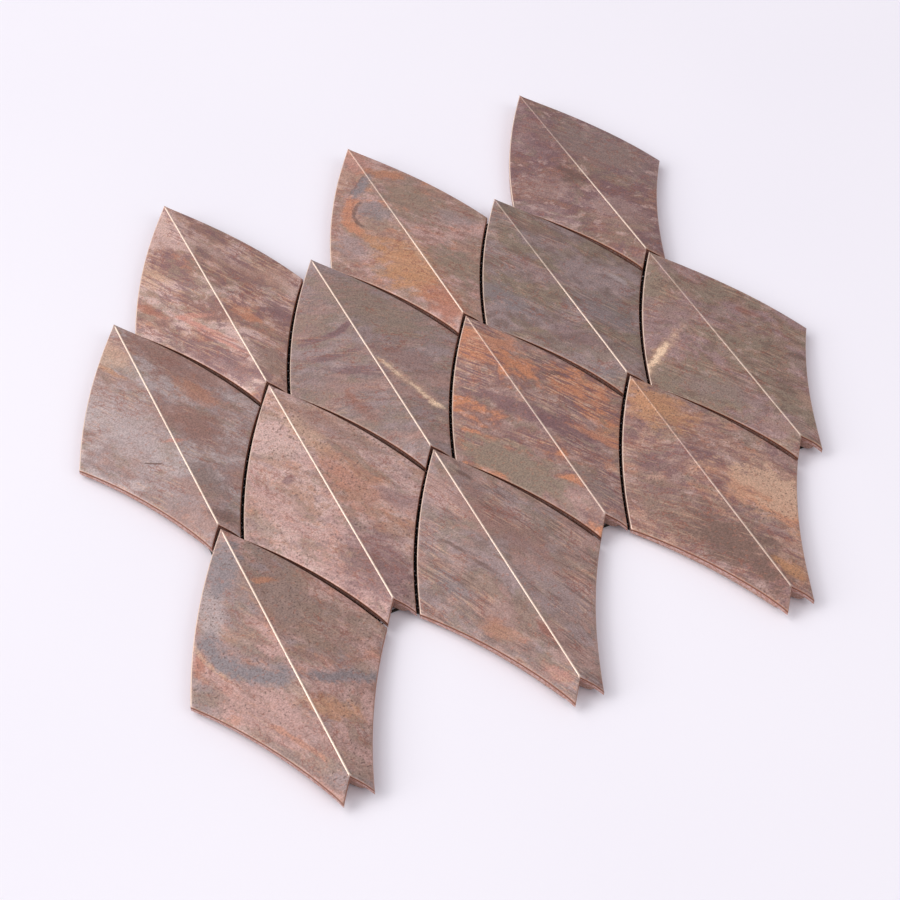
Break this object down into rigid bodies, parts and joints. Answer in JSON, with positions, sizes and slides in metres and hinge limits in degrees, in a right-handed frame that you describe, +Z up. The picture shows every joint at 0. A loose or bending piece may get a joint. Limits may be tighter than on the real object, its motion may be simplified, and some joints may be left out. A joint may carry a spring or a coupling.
{
  "type": "copper mosaic tile",
  "caption": "Interlocking mosaic sheet of leaf-shaped copper chips, each folded to a raised ridge and capping a backing body, held in step by a net on the back, for walls and splashbacks.",
  "frame": {"origin": "middle of the sheet's bounding box, on the floor under the net", "axes": "+Z up out of the visible face, +Y along the ridges towards the apexes of the chips, +X across the columns"},
  "size_m": [0.3016, 0.3064, 0.008],
  "materials": {
    "copper": "aged copper with mottled brown, grey and rust patina under a satin lacquer, bright on the folds",
    "backing": "rough granular mineral-filled body, stained copper brown",
    "net": "coated glass-fibre net, matt"
  },
  "bodies": {
    "root": {"copper_plate_01": "copper", "copper_plate_02": "copper", "copper_plate_03": "copper", "copper_plate_04": "copper", "copper_plate_05": "copper", "copper_plate_06": "copper", "copper_plate_07": "copper", "copper_plate_08": "copper", "copper_plate_09": "copper", "copper_plate_10": "copper", "copper_plate_11": "copper", "copper_plate_12": "copper", "backing_body_01": "backing", "backing_body_02": "backing", "backing_body_03": "backing", "backing_body_04": "backing", "backing_body_05": "backing", "backing_body_06": "backing", "backing_body_07": "backing", "backing_body_08": "backing", "backing_body_09": "backing", "backing_body_10": "backing", "backing_body_11": "backing", "backing_body_12": "backing", "net_warp": "net", "net_weft": "net"}
  },
  "joints": []
}
